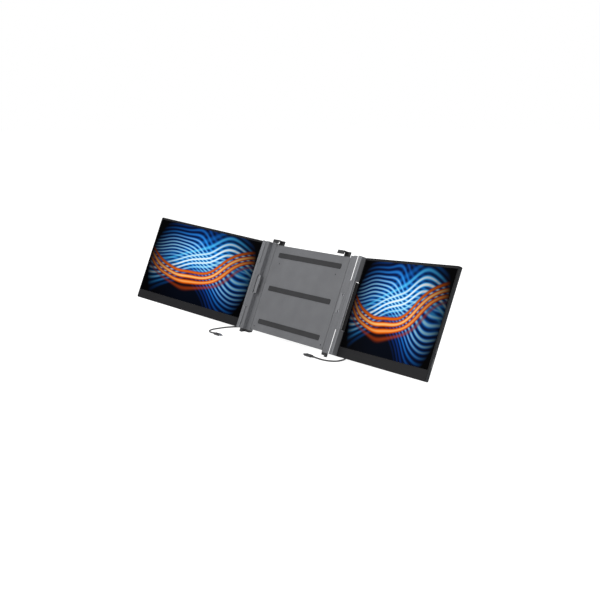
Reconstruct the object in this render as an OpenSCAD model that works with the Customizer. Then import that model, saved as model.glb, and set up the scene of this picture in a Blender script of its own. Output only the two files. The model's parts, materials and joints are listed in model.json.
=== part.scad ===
// Laptop screen extender: two portable screens on hinged columns, a telescoping
// bracket that stands behind a laptop's lid, and a folding stand.
// Every piece is drawn upright (x to the right, y to the rear, z up) and the whole
// bracket is then leaned back by its stand. The screens swing about the columns.

/* [Screens] */
// Width of one screen housing
screen_w = 351; // [330:1:372]
// Height of one screen housing
screen_h = 222; // [206:1:236]
// Thickness of one screen housing
screen_t = 9; // [8.6:0.1:11]
// Corner radius of the housing
screen_r = 4; // [2.5:0.5:7]
// Height of the plain strip below the picture
chin_h = 22; // [18:0.5:28]
// Width of the frame's rim round the glass
rim_w = 1.4; // [1.2:0.1:2.4]
// Wall of the rear cover
cover_wall = 1.6; // [1.4:0.1:2]

/* [Pose at rest] */
// Lean of the bracket, back from upright
tilt = 21.8; // [14:0.2:26]
// Forward swing of the left screen
swing_left = 17.2; // [0:0.2:30]
// Forward swing of the right screen
swing_right = 12.6; // [0:0.2:30]
// Angle of the stand's leg from the back of the housing
leg_angle = 36; // [30:1:42]

/* [Hinges] */
// Radius of the knuckles and of the columns' barrels
barrel_r = 5.5; // [5:0.1:6.2]
// Distance from a hinge axis to the screen's inner edge
hinge_edge = 7.5; // [7:0.1:9]
// Radius of the hinge shafts
shaft_r = 2; // [1.5:0.1:2.4]
// Share of the height that each knuckle takes
knuckle_share = 0.25; // [0.18:0.01:0.32]
// Gap between the two screens when both are folded in
stack_gap = 1; // [0.8:0.1:2]
// Gap between a folded screen and the opposite barrel
end_gap = 4; // [3.5:0.1:6]

/* [Columns] */
// Depth of the space for the laptop's lid, in front of the pads
lid_space = 6.1; // [6:0.1:8]
// Thickness of the lips that hold the lid
lip_t = 1.8; // [1.4:0.1:2.4]
// Width of a column's front face
column_w = 11; // [9.5:0.1:13]
// Width of the column's flange behind the lid
flange_w = 20; // [18:0.5:26]
// Thickness of the flange
flange_t = 8.3; // [7.4:0.1:9.5]
// Clear width from the column's front face to the knuckle
sight_gap = 7.5; // [7:0.1:9]

/* [Bracket] */
// How much further than the centre housing the columns reach, at the top and the bottom
housing_inset = 4; // [3:0.5:12]
// Depth of the centre housing behind its front plate
housing_t = 11; // [10.4:0.1:14]
// Thickness of the front plate
plate_t = 1.4; // [1:0.1:2]
// Thickness of the rubber pads behind the lid
pad_t = 0.6; // [0.5:0.1:1.2]
// Wall of the centre housing
housing_wall = 2; // [1.6:0.1:2.6]
// Height of a rail's bar
rail_h = 20; // [14:0.5:24]
// Thickness of a rail's bar
rail_t = 4; // [3:0.1:4.2]
// Travel of each arm
arm_travel = 38; // [20:1:40]

/* [Clips] */
// Width of a top clip's hook
hook_w = 22; // [16:1:30]
// Distance from a top clip's stem to the middle of its hook
hook_offset = 12; // [0:0.5:14]
// Height of a side clip's tab
tab_h = 45; // [30:1:60]
// Reach of a side clip over the lid
tab_reach = 6; // [4:0.5:8]
// Height of the clamped lid's top edge above the housing
lid_rise = 8.5; // [6:0.5:14]

/* [Stand] */
// Width of the leg
leg_w = 96; // [70:1:110]
// Thickness of the leg
leg_t = 3; // [2.4:0.1:4]
// Height of the leg's pivot above the bottom edge
leg_pivot_z = 150; // [140:1:160]
// Clear height under the column's bottom edge, where the feet are
lift = 5.5; // [5:0.1:9]

/* [Hidden] */
$fn = 48;
LEFT = -1;
RIGHT = 1;
eps = 0.01;
far = 200;

// The lips pass under a folded screen, so they set the lower hinge axis.
lip_gap = 0.5;
lip_front = lid_space + lip_t;
axis_low = (lip_front + lip_gap) / 2;
axis_high = axis_low + (screen_t + stack_gap) / 2;
function axis_n(s) = s < 0 ? axis_low : axis_high;
function swing(s) = s < 0 ? swing_left : swing_right;

// A folded screen ends just short of the opposite barrel, which sets the columns apart.
hinge_x = (screen_w + hinge_edge + barrel_r + end_gap) / 2;
column_out = hinge_x - barrel_r - sight_gap;
column_in = column_out - column_w;
flange_in = column_in - flange_w;
housing_half = flange_in - 1;
flange_y = 0.5;
column_y = -lip_front;
rib_y = 14;

// Housing layers, from the pads to the rear
plate_y = pad_t;
shell_y = plate_y + plate_t;
shell_back = shell_y + housing_t;
housing_z = housing_inset;
housing_h = screen_h - 2 * housing_inset;
housing_top = housing_z + housing_h;
shell_bevel = 3;
lid_top = housing_top + lid_rise;
pad_inset = 21;
pad_edge = 24;
pad_h = 12;

// Rails
rail_y = flange_y + 3;
rail_in = 36;
rail_seat = 15.9;
rail_rise = 58;
rail_drop = 78;
rail_z = [housing_z + rail_rise, housing_top - rail_drop];
rail_fit = 0.15;
rail_out = flange_in + rail_seat;
yoke_w = 8;
guide_outer = [housing_half - 21, housing_half - housing_wall - 1];
guide_inner = [rail_in + yoke_w + arm_travel + 2, rail_in + yoke_w + arm_travel + 14];

// Hinge zones along the height
knuckle_h = screen_h * knuckle_share;
zone_gap = 0.4;
shaft_end = 3.2;
run_fit = 0.05;
seat_fit = 0.02;

// Screen layers, behind the glass plane
frame_t = 0.9;
glass_t = 0.75;
lcd_t = 2.6;
bay_floor = 4;
lcd_side = 2.2;
lcd_bottom = chin_h - 1.5;
lcd_top = screen_h - 3;
cover_edge = 2.2;
screw_edge = 12;
screw_in = 80;
screw_mid = 116;
cover_in = hinge_edge + cover_wall;
cover_out = hinge_edge + screen_w - cover_wall;

// Cable bay on the rear of each screen
bay_x = [18, 66];
bay_z = 66;
bay_wall = 2;
port_x = [27, 43, 57];
port_w = [8.9, 8.9, 11];
port_y = bay_floor + 2.7;
port_h = 3.2;
port_depth = 7.5;
board_x = [hinge_edge + 0.32 * screen_w, hinge_edge + 0.69 * screen_w];
board_z = [24, 62];
board_chips = [[12, 32, 14], [40, 38, 12], [66, 34, 16], [96, 44, 10]];
speaker_l = 30;
speaker_in = 88.5;
speaker_out = 70.5;
speaker_x = [hinge_edge + speaker_in, hinge_edge + screen_w - speaker_out];
speaker_z = [4, 19];

// Buttons on the outer edge of each screen
button_y = 5.3;
button_h = 3.2;
power_z = 60;
power_l = 10;
rocker_z = 36;
rocker_l = 18;
button_fit = 0.25;
rocker_gap = 0.65;
button_proud = 0.5;
flange_lip = 0.8;

// Clips
stem_mid = housing_half - 15.5;
stem_w = 20;
hook_t = 2;
hook_pad = 1;
hook_drop = 5.5;
stem_x = [stem_mid - stem_w / 2, stem_mid + stem_w / 2];
stem_y = 2.4;
stem_t = 2.2;
stem_bottom = housing_top - 46;
stem_fit = 0.2;
// The two clips are alike, and not mirrored: both hooks lie to the left of their stems.
function hook_x(s) =
    [stem_mid - s * hook_offset - hook_w / 2, stem_mid - s * hook_offset + hook_w / 2];
tab_z = 91;
tab_pin_r = 1;
tab_barrel_r = 1.9;
tab_axis_x = column_in + 2.4;
tab_axis_y = column_y + 2.1;
tab_seat = 3;
tab_neck = 6;

// Stand
leg_pivot_y = shell_back + 5;
leg_pin_r = 2;
leg_barrel_r = 4;
leg_foot_r = 3.5;
lug_w = 8;
lug_gap = 0.3;
pivot_height = lift + leg_pivot_z * cos(tilt) - leg_pivot_y * sin(tilt);
leg_lean = leg_angle - tilt;
leg_l = (pivot_height - leg_foot_r) / cos(leg_lean);

// The origin is below the middle of the outline, on the surface that it stands on.
outer_w = hinge_edge + screen_w;
span_left = hinge_x + outer_w * cos(swing_left) + (axis_low + screen_t) * sin(swing_left);
span_right = hinge_x + outer_w * cos(swing_right) + (axis_high + screen_t) * sin(swing_right);
function reach(s) =
    (axis_n(s) * (1 - cos(swing(s))) + outer_w * sin(swing(s))) * cos(tilt);
reach_front = max(reach(LEFT), reach(RIGHT));
reach_back = leg_pivot_z * sin(tilt) + leg_pivot_y * cos(tilt) + leg_l * sin(leg_lean)
    + leg_foot_r;
shift_x = (span_left - span_right) / 2;
shift_y = (reach_front - reach_back) / 2;

// ---------------------------------------------------------------- frames

module bracket_frame() {
    translate([shift_x, shift_y, lift])
        rotate([-tilt, 0, 0])
            children();
}

module side_frame(s) {
    bracket_frame()
        if (s < 0) mirror([1, 0, 0]) children();
        else children();
}

// x runs from the hinge axis to the screen's outer edge, y to the rear.
module screen_frame(s) {
    side_frame(s)
        translate([hinge_x, -axis_n(s), 0])
            rotate([0, 0, -swing(s)])
                children();
}

// ---------------------------------------------------------------- shapes

module soft_square(w, h, r) {
    if (r > 0) {
        translate([r, 0]) square([w - 2 * r, h]);
        translate([0, r]) square([w, h - 2 * r]);
        for (x = [r, w - r], y = [r, h - r])
            translate([x, y]) circle(r);
    } else {
        square([w, h]);
    }
}

// A plate that faces the front, with its corners rounded as seen from there
module slab(x, y, z, r = 0) {
    translate([0, y[1], 0])
        rotate([90, 0, 0])
            linear_extrude(y[1] - y[0])
                translate([x[0], z[0]])
                    soft_square(x[1] - x[0], z[1] - z[0], r);
}

// A cylinder along y, from y[0] to y[1]
module rod_y(r, y, x, z) {
    translate([x, y[1], z])
        rotate([90, 0, 0])
            cylinder(r = r, h = y[1] - y[0]);
}

// A bar with round ends, seen along z: wide along x, thin along y
module stadium(w, t) {
    translate([-(w - t) / 2, -t / 2]) square([w - t, t]);
    for (e = [-1, 1])
        translate([e * (w - t) / 2, 0]) circle(t / 2);
}

// ---------------------------------------------------------------- centre housing

// A rounded plate whose rear edges are bevelled, w wide and d deep
module bevelled(x, y, z, r, w, d) {
    difference() {
        slab(x, y, z, r);
        for (e = [0, 1]) {
            a = e * 2 - 1;
            translate([x[0] - 1, y[1], z[e]])
                rotate([90, 0, 90])
                    linear_extrude(x[1] - x[0] + 2)
                        polygon([[eps, -a * w], [eps, a], [-d * (w + 1) / w, a]]);
            translate([x[e], y[1], z[0] - 1])
                linear_extrude(z[1] - z[0] + 2)
                    polygon([[-a * w, eps], [a, eps], [a, -d * (w + 1) / w]]);
        }
    }
}

module shell_outline()
    bevelled([-housing_half, housing_half], [shell_y, shell_back],
        [housing_z, housing_top], 6, shell_bevel, shell_bevel);

module back_shell() color("#4a4b4e") bracket_frame() {
    inner = housing_half - housing_wall;
    difference() {
        shell_outline();
        difference() {
            slab([-inner, inner], [shell_y - 1, shell_back - housing_wall],
                [housing_z + housing_wall, housing_top - housing_wall], 4);
            // Guides for the stems of the top clips
            for (e = [-1, 1])
                slab(e > 0 ? [stem_x[0] - 3, inner + 1] : [-inner - 1, 3 - stem_x[0]],
                    [shell_y - 1, shell_back], [housing_top - 33, housing_top]);
            // Pillars for the screws of the front plate
            for (p = housing_screw_places())
                rod_y(3.4, [shell_y, shell_back], p[0], p[1]);
        }
        for (e = [-1, 1]) {
            x = e > 0 ? stem_x : [-stem_x[1], -stem_x[0]];
            slab([x[0] - stem_fit, x[1] + stem_fit],
                [shell_y - 1, stem_y + stem_t + stem_fit],
                [housing_top - 34, housing_top + 1]);
        }
        for (e = [-1, 1], z = rail_z)
            slab(e > 0 ? [inner - 1, housing_half + 1] : [-housing_half - 1, 1 - inner],
                [rail_y - rail_fit, rail_y + rail_t + rail_fit],
                [z - rail_fit, z + rail_h + rail_fit]);
        for (p = housing_screw_places())
            rod_y(1.3, [shell_y - eps, shell_y + 7], p[0], p[1]);
        // Finger scoop for the leg, and a row of vents
        for (i = [0 : 6])
            slab([-30 + i * 9, -26 + i * 9], [shell_back - 3, shell_back + 1],
                [housing_top - 24, housing_top - 14], 2);
    }
}

function housing_screw_places() = [
    for (e = [-1, 1], p = [[housing_half - 10, housing_z + 10],
        [housing_half - 24, (rail_z[0] + rail_z[1] + rail_h) / 2],
        [stem_x[0] - 7, housing_top - 44]])
        [e * p[0], p[1]]];

module front_plate() color("#5c5d60") bracket_frame()
    difference() {
        slab([-housing_half, housing_half], [plate_y, shell_y], [housing_z, housing_top], 6);
        for (p = housing_screw_places())
            rod_y(1.6, [plate_y - 1, shell_y + 1], p[0], p[1]);
    }

module housing_screws() color("#2b2b2d") bracket_frame()
    for (p = housing_screw_places()) {
        rod_y(1.58, [plate_y, shell_y], p[0], p[1]);
        rod_y(1.28, [shell_y - eps, shell_y + 6], p[0], p[1]);
    }

module lid_pads() color("#1d1d1f") bracket_frame()
    for (z = [housing_z + pad_edge, housing_z + housing_h / 2, housing_top - pad_edge])
        slab([pad_inset - housing_half, housing_half - pad_inset], [0, plate_y],
            [z - pad_h / 2, z + pad_h / 2], 3);

module rail_guides() color("#e6e3d8") bracket_frame()
    for (e = [-1, 1], z = rail_z, g = [guide_outer, guide_inner]) {
        x = e > 0 ? g : [-g[1], -g[0]];
        difference() {
            slab(x, [shell_y, shell_back - housing_wall], [z - 3, z + rail_h + 3]);
            slab([x[0] - 1, x[1] + 1], [rail_y - rail_fit, rail_y + rail_t + rail_fit],
                [z - rail_fit, z + rail_h + rail_fit]);
        }
    }

// ---------------------------------------------------------------- stand

module leg_lugs() color("#3b3c3f") bracket_frame()
    for (e = [-1, 1])
        difference() {
            translate([e * (leg_w / 2 + lug_gap + lug_w / 2) - lug_w / 2, 0, leg_pivot_z])
                rotate([90, 0, 90])
                    linear_extrude(lug_w) {
                        translate([leg_pivot_y, 0]) circle(leg_barrel_r);
                        translate([shell_back, -9])
                            square([leg_pivot_y - shell_back, 9 + leg_barrel_r]);
                    }
            translate([0, leg_pivot_y, leg_pivot_z])
                rotate([0, 90, 0])
                    cylinder(r = leg_pin_r + seat_fit, h = far, center = true);
        }

module leg_pin() color("#9a9ca0") bracket_frame()
    translate([0, leg_pivot_y, leg_pivot_z])
        rotate([0, 90, 0])
            cylinder(r = leg_pin_r, h = leg_w + 2 * (lug_gap + lug_w) - 1, center = true);

// The leg hangs straight down from its pivot when it is folded flat.
module leg_frame() {
    bracket_frame()
        translate([0, leg_pivot_y, leg_pivot_z])
            rotate([leg_angle, 0, 0])
                children();
}

module leg_plate() color("#55565a") leg_frame()
    difference() {
        union() {
            rotate([90, 0, 90])
                linear_extrude(leg_w, center = true)
                    circle(leg_barrel_r);
            slab([-leg_w / 2, leg_w / 2], [-leg_t / 2, leg_t / 2], [-60, 0]);
            slab([-leg_w / 2, leg_w / 2], [-leg_t / 2, leg_t / 2], [-leg_l, -40], 10);
        }
        slab([8 - leg_w / 2 + 10, leg_w / 2 - 18], [-leg_t, leg_t], [-leg_l + 22, -34], 9);
        rotate([0, 90, 0])
            cylinder(r = leg_pin_r + run_fit, h = far, center = true);
    }

module leg_foot() color("#222224") leg_frame()
    difference() {
        translate([0, 0, -leg_l])
            rotate([0, 90, 0])
                cylinder(r = leg_foot_r, h = leg_w - 24, center = true);
        slab([-leg_w, leg_w], [-leg_t / 2, leg_t / 2], [-leg_l, 0]);
    }

// ---------------------------------------------------------------- arms

module rails(s) color("#a8abb0") side_frame(s)
    for (z = rail_z)
        difference() {
            slab([rail_in, rail_out], [rail_y, rail_y + rail_t], [z, z + rail_h], 1);
            rod_y(1.55, [rail_y - 1, rail_y + rail_t + 1], flange_in + 8, z + rail_h / 2);
        }

module yoke(s) color("#6d6f73") side_frame(s)
    slab([rail_in, rail_in + yoke_w], [rail_y, rail_y + rail_t],
        [rail_z[0] + rail_h, rail_z[1]]);

// The column's section: a front face beside the lid, a wall past the lid's edge, and
// a flange behind it. Its outer side slopes back, so light shows past the knuckles.
module column_section() {
    slope = column_w + flange_w - 12.6;
    polygon([
        [column_in, column_y], [column_out, column_y], [column_out, column_y + 0.9],
        [column_out - slope, flange_y + flange_t], [flange_in, flange_y + flange_t],
        [flange_in, flange_y], [column_in, flange_y]]);
}

module barrel_section(s) {
    x0 = column_in + 6;
    cy = -axis_n(s);
    translate([hinge_x, cy]) circle(barrel_r);
    front = s < 0
        ? [[x0, column_y], [hinge_x - 3.8, column_y]]
        : [[x0, column_y], [hinge_x - barrel_r - 2.5, column_y], [hinge_x - 4.9, cy - 2.4]];
    polygon(concat(front, [
        [hinge_x, cy], [hinge_x - 1, cy + 5.3], [hinge_x - 6.5, rib_y - 1],
        [hinge_x - 7.5, rib_y], [hinge_x - 17, rib_y], [hinge_x - 22, flange_y + flange_t],
        [column_in, flange_y]]));
}

module column(s) color("#77787b") side_frame(s)
    difference() {
        union() {
            linear_extrude(screen_h) column_section();
            translate([0, 0, knuckle_h + zone_gap])
                linear_extrude(screen_h - 2 * (knuckle_h + zone_gap)) barrel_section(s);
        }
        translate([hinge_x, -axis_n(s), -1])
            cylinder(r = shaft_r + seat_fit, h = screen_h + 2);
        // Seats of the rails and holes of their screws
        for (z = rail_z) {
            slab([flange_in - 1, rail_out + 0.1], [rail_y - rail_fit, rail_y + rail_t + rail_fit],
                [z - rail_fit, z + rail_h + rail_fit]);
            rod_y(1.55, [rail_y, flange_y + flange_t + 1], flange_in + 8, z + rail_h / 2);
        }
        // Notch and pin hole of the side clip
        slab([column_in - 1, tab_axis_x + 3.6], [column_y - 1, tab_axis_y + 2.3],
            [tab_z - 0.5, tab_z + tab_h + 0.5]);
        translate([tab_axis_x, tab_axis_y, tab_z - tab_seat - 0.1])
            cylinder(r = tab_pin_r + seat_fit, h = tab_h + 2 * tab_seat + 0.2);
    }

module rail_screws(s) color("#2b2b2d") side_frame(s)
    for (z = rail_z)
        rod_y(1.5, [rail_y + 0.2, flange_y + flange_t], flange_in + 8, z + rail_h / 2);

// A rubber wedge under the column, cut level with the surface below
module foot(s) color("#1b1b1c")
    difference() {
        side_frame(s)
            translate([0, 0, -far / 4])
                linear_extrude(far / 4)
                    intersection() {
                        column_section();
                        translate([flange_in + 1, column_y + 0.6])
                            square([flange_w + column_w - 1.6, far]);
                    }
        translate([-2 * far, -2 * far, -2 * far])
            cube([4 * far, 4 * far, 2 * far]);
    }

module hinge_shaft(s) color("#b4b6ba") side_frame(s)
    translate([hinge_x, -axis_n(s), shaft_end])
        cylinder(r = shaft_r, h = screen_h - 2 * shaft_end);

// ---------------------------------------------------------------- clips

// A tab on a pin at the column's front edge, lying over the lid. Its neck is shorter than
// the tab, so the pin shows at both ends.
module side_clip(s) color("#86878a") side_frame(s)
    difference() {
        union() {
            translate([tab_axis_x, tab_axis_y, tab_z + tab_neck])
                cylinder(r = tab_barrel_r, h = tab_h - 2 * tab_neck);
            slab([column_in - tab_reach, tab_axis_x], [column_y, column_y + lip_t],
                [tab_z + tab_neck, tab_z + tab_h - tab_neck]);
            slab([column_in - tab_reach, column_in], [column_y, column_y + lip_t],
                [tab_z, tab_z + tab_h]);
            translate([column_in - tab_reach, column_y + lip_t / 2, tab_z])
                cylinder(r = lip_t / 2, h = tab_h);
        }
        translate([tab_axis_x, tab_axis_y, tab_z - 1])
            cylinder(r = tab_pin_r + run_fit, h = tab_h + 2);
    }

module side_clip_pin(s) color("#b4b6ba") side_frame(s)
    translate([tab_axis_x, tab_axis_y, tab_z - tab_seat])
        cylinder(r = tab_pin_r, h = tab_h + 2 * tab_seat);

module side_clip_pad(s) color("#1d1d1f") side_frame(s)
    slab([column_in - tab_reach + 0.4, column_in - 0.6],
        [column_y + lip_t, column_y + lip_t + 0.4], [tab_z + 2, tab_z + tab_h - 2]);

module top_clip(s) color("#26262a") side_frame(s) {
    slab(stem_x, [stem_y, stem_y + stem_t], [stem_bottom, lid_top + hook_pad + hook_t]);
    hook_z = lid_top + hook_pad;
    translate([hook_x(s)[0], 0, 0])
        rotate([90, 0, 90])
            linear_extrude(hook_w)
                polygon([
                    [stem_y + stem_t, hook_z], [stem_y + stem_t, hook_z + hook_t],
                    [column_y + 1, hook_z + hook_t], [column_y, hook_z + hook_t - 1],
                    [column_y, lid_top - hook_drop], [column_y + lip_t, lid_top - hook_drop],
                    [column_y + lip_t, hook_z]]);
}

module top_clip_pad(s) color("#3a3a3d") side_frame(s)
    slab([hook_x(s)[0] + 1, hook_x(s)[1] - 1], [column_y + lip_t, stem_y - 0.5],
        [lid_top, lid_top + hook_pad]);

// ---------------------------------------------------------------- screens

module cover_outline(g)
    bevelled([hinge_edge, hinge_edge + screen_w], [g + frame_t, g + screen_t],
        [0, screen_h], screen_r, cover_edge, cover_edge);

function cover_screw_places() = [
    for (x = [hinge_edge + screw_in, hinge_edge + screen_w - screw_edge],
        z = [screw_edge, screw_mid, screen_h - screw_edge])
        [x, z]];

function knuckle_zones() = [[0, knuckle_h], [screen_h - knuckle_h, screen_h]];

module speaker_slots(g)
    for (x0 = speaker_x, i = [1 : 7])
        slab([x0 + i * 3.6, x0 + i * 3.6 + 1.4], [g + 6, g + screen_t + 1], [6, 17], 0.6);

module back_cover(s) color("#3a3b3d") screen_frame(s) {
    g = axis_n(s);
    inner_back = g + screen_t - cover_wall;
    difference() {
        cover_outline(g);
        difference() {
            slab([cover_in, cover_out], [g, inner_back],
                [cover_wall, screen_h - cover_wall], screen_r - cover_wall);
            // Walls round the cable bay, bosses and standoffs
            slab([bay_x[0] - bay_wall, bay_x[1] + bay_wall], [g + frame_t + lcd_t, g + far],
                [0, bay_z + port_depth]);
            for (p = cover_screw_places())
                rod_y(2.8, [g + frame_t + lcd_t + 0.1, g + screen_t], p[0], p[1]);
            for (x = [board_x[0] + 8, board_x[1] - 8], z = [board_z[0] + 6, board_z[1] - 6])
                rod_y(2, [g + 6.2, g + screen_t], x, z);
        }
        slab(bay_x, [g + bay_floor, g + screen_t + 1], [-1, bay_z]);
        for (i = [0 : 2])
            translate([port_x[i], g + port_y, bay_z - 1])
                linear_extrude(port_depth + 2)
                    stadium(port_w[i] + 0.1, port_h + 0.1);
        for (z = knuckle_zones())
            slab([hinge_edge - 1, cover_in + 1], [g + 4.55, inner_back], [z[0] + 4, z[1] - 4]);
        for (p = cover_screw_places())
            rod_y(1.1, [g + frame_t + lcd_t + 0.1, g + screen_t + 1], p[0], p[1]);
        for (p = cover_screw_places())
            rod_y(2.1, [g + screen_t - 1, g + screen_t + 1], p[0], p[1]);
        speaker_slots(g);
        button_cut(g, power_z, power_l);
        button_cut(g, rocker_z, rocker_l);
    }
}

// A window with round ends through the outer side wall
module button_cut(g, z, l)
    translate([cover_out - 1, g + button_y, z])
        rotate([90, 0, 90])
            linear_extrude(cover_wall + 2)
                rotate(90) stadium(l + 2 * button_fit, button_h + 2 * button_fit);

module front_frame(s) color("#37383a") screen_frame(s) {
    g = axis_n(s);
    difference() {
        slab([hinge_edge + 0.3, hinge_edge + screen_w - 0.3], [g, g + frame_t],
            [0.3, screen_h - 0.3], screen_r - 0.3);
        slab([hinge_edge + rim_w, hinge_edge + screen_w - rim_w], [g - 1, g + far],
            [chin_h, screen_h - rim_w], 2);
    }
}

module cover_glass(s) color("#08090b") screen_frame(s) {
    g = axis_n(s);
    slab([hinge_edge + rim_w + 0.05, hinge_edge + screen_w - rim_w - 0.05],
        [g + frame_t - glass_t, g + frame_t], [chin_h + 0.05, screen_h - rim_w - 0.05], 2);
}

module lcd_module(s) color("#8e9297") screen_frame(s) {
    g = axis_n(s);
    slab([hinge_edge + lcd_side, hinge_edge + screen_w - lcd_side],
        [g + frame_t, g + frame_t + lcd_t], [lcd_bottom, lcd_top], 1);
}

module driver_board(s) color("#1f5a3a") screen_frame(s) {
    g = axis_n(s);
    slab(board_x, [g + 5, g + 6.2], board_z, 1);
    for (c = board_chips)
        slab([board_x[0] + c[0], board_x[0] + c[0] + c[2]], [g + 3.8, g + 5],
            [c[1], c[1] + c[2]]);
}

module speakers(s) color("#202022") screen_frame(s) {
    g = axis_n(s);
    for (x0 = speaker_x)
        slab([x0, x0 + speaker_l], [g + 3.8, g + screen_t - cover_wall], speaker_z, 2);
}

module ports(s) color("#c3c6ca") screen_frame(s) {
    g = axis_n(s);
    for (i = [0 : 2])
        translate([port_x[i], g + port_y, bay_z]) {
            difference() {
                linear_extrude(port_depth) stadium(port_w[i], port_h);
                translate([0, 0, -1])
                    linear_extrude(port_depth) stadium(port_w[i] - 0.5, port_h - 0.5);
            }
            translate([0, 0, 1])
                linear_extrude(port_depth - 1)
                    square([port_w[i] - 3.2, 0.6], center = true);
        }
}

// A knuckle: a round head on the axis, a web to the rear, and a leaf in the housing
module knuckles(s) color("#7b7c7f") screen_frame(s) {
    g = axis_n(s);
    back = g + screen_t - 0.6;
    leaf_back = g + screen_t - cover_wall;
    for (z = knuckle_zones())
        difference() {
            union() {
                translate([0, 0, z[0]])
                    linear_extrude(knuckle_h) {
                        circle(barrel_r);
                        polygon([[-barrel_r, 0], [barrel_r, 0], [barrel_r, g + 4],
                            [hinge_edge, g + 4], [hinge_edge, back], [-1.5, back]]);
                    }
                slab([barrel_r, bay_x[0] - bay_wall - 0.3], [g + 4.6, leaf_back],
                    [z[0] + 4.05, z[1] - 4.05]);
            }
            translate([0, 0, shaft_end - 0.1])
                cylinder(r = shaft_r + run_fit, h = screen_h - 2 * shaft_end + 0.2);
        }
}

// A button with a flange behind the wall, which it clears by gap
module edge_button(g, z, l, gap)
    translate([cover_out - flange_lip - gap, g + button_y, z])
        rotate([90, 0, 90])
            rotate(90) {
                linear_extrude(flange_lip)
                    stadium(l + 1.2, button_h - 0.2);
                linear_extrude(flange_lip + gap + cover_wall + button_proud)
                    stadium(l, button_h);
            }

module power_button(s) color("#4c4d50") screen_frame(s)
    edge_button(axis_n(s), power_z, power_l, button_fit);

module menu_rocker(s) color("#4c4d50") screen_frame(s)
    edge_button(axis_n(s), rocker_z, rocker_l, rocker_gap);

module cover_screws(s) color("#1f1f21") screen_frame(s) {
    g = axis_n(s);
    for (p = cover_screw_places()) {
        rod_y(1.05, [g + frame_t + lcd_t + 0.4, g + screen_t - 0.5], p[0], p[1]);
        rod_y(2.05, [g + screen_t - 1, g + screen_t - 0.1], p[0], p[1]);
    }
}

// ---------------------------------------------------------------- cables

cable_r = 1.8;
mould_l = 22;
mould_w = 10.6;
mould_t = 5.2;
boot_l = 9;
tip_l = 6.4;
plug_gap = 0.4;

// Points of the two routes, on the surface at the end
left_route = [
    [-216.7, 6.5, 41.1], [-216.7, 5.4, 38.3], [-216.8, 3.8, 32.5], [-217.2, 4.8, 23.5],
    [-218, 10, 14], [-219.5, 20, 6.5], [-221, 33, 2.6], [-219, 50, 1.8],
    [-205, 74, 1.8], [-176, 90, 1.8], [-140, 94, 1.8], [-106, 86, 1.8], [-94, 67, 1.8],
    [-106, 50, 1.8], [-136, 44, 1.8], [-168, 35, 1.8], [-196, 22, 1.8], [-213, 5, 1.8],
    [-220, -10, 1.8], [-224, -27, 1.8], [-225, -46, 1.8], [-222, -64, 1.8],
    [-212, -77, 1.8], [-198, -83, 2.2], [-188, -83.6, 2.7], [-182, -83.6, 2.8]];
right_route = [
    [210, 8.6, 40.4], [210, 7.5, 37.6], [210.2, 5.8, 32], [210.8, 7.2, 23], [211.6, 13, 14],
    [213, 23, 6.5], [215, 36, 2.6], [215, 52, 1.8], [205, 75, 1.8], [178, 94, 1.8],
    [142, 100, 1.8], [108, 94, 1.8], [94, 75, 1.8], [108, 57, 1.8], [138, 49, 1.8],
    [170, 38, 1.8], [194, 22, 1.8], [206, 5, 1.8], [212, -10, 1.8], [211, -24, 1.8],
    [201, -34, 1.8], [186, -39.4, 1.8], [170, -41, 2.2], [160, -41.4, 2.7],
    [154, -41.4, 2.8]];

function blend_point(a, b, c, d, t) = 0.5 * (2 * b + (c - a) * t
    + (2 * a - 5 * b + 4 * c - d) * t * t + (3 * b - a - 3 * c + d) * t * t * t);
function route_points(p) = [
    for (i = [0 : len(p) - 2])
        let (a = p[max(i - 1, 0)], b = p[i], c = p[i + 1], d = p[min(i + 2, len(p) - 1)],
            n = max(1, round(norm(c - b) / (4.6 * cable_r))))
            for (k = [0 : n - 1]) blend_point(a, b, c, d, k / n),
    p[len(p) - 1]];
function unit(v) = v / norm(v);
function route_length(q) =
    [for (i = 0, sum = 0; i < len(q); sum = sum + (i > 0 ? norm(q[i] - q[i - 1]) : 0), i = i + 1)
        sum + (i > 0 ? norm(q[i] - q[i - 1]) : 0)][len(q) - 1];

// A tube of eight sides along a route, each ring square to it
module tube(q) {
    sides = 8;
    n = len(q);
    rings = [for (i = [0 : n - 1])
        let (t = unit(q[min(i + 1, n - 1)] - q[max(i - 1, 0)]),
            u = unit(cross(t, abs(t[2]) > 0.8 ? [0, 1, 0] : [0, 0, 1])), v = cross(u, t))
            for (k = [0 : sides - 1])
                q[i] + cable_r * (cos(360 * (k + 0.5) / sides) * u
                    + sin(360 * (k + 0.5) / sides) * v)];
    walls = [for (i = [0 : n - 2], k = [0 : sides - 1])
        let (a = i * sides + k, b = i * sides + (k + 1) % sides)
            each [[a, b, a + sides], [b, b + sides, a + sides]]];
    ends = [[for (k = [sides - 1 : -1 : 0]) k],
        [for (k = [0 : sides - 1]) (n - 1) * sides + k]];
    polyhedron(points = rings, faces = concat(walls, ends));
}

module cable(s) color("#1c1c1e") {
    q = route_points(s < 0 ? left_route : right_route);
    echo(cable = s < 0 ? "left" : "right", length_mm = route_length(q), rings = len(q));
    tube(q);
}

// A plug along z: the boot starts at z = 0 and the metal tip is on top.
module plug_body() {
    difference() {
        union() {
            cylinder(r1 = 2.55, r2 = 2.6, h = boot_l);
            translate([0, 0, boot_l])
                linear_extrude(mould_l) stadium(mould_w, mould_t);
            translate([0, 0, boot_l + mould_l])
                linear_extrude(tip_l) stadium(8.2, 2.5);
        }
        translate([0, 0, -1])
            cylinder(r = cable_r + 0.3, h = 4.2);
        translate([0, 0, boot_l + mould_l + 0.6])
            linear_extrude(tip_l) stadium(7.6, 1.9);
    }
}

module screen_plug(s) color("#262628") screen_frame(s)
    translate([port_x[0], axis_n(s) + port_y, bay_z - plug_gap - mould_l - boot_l])
        plug_body();

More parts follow.
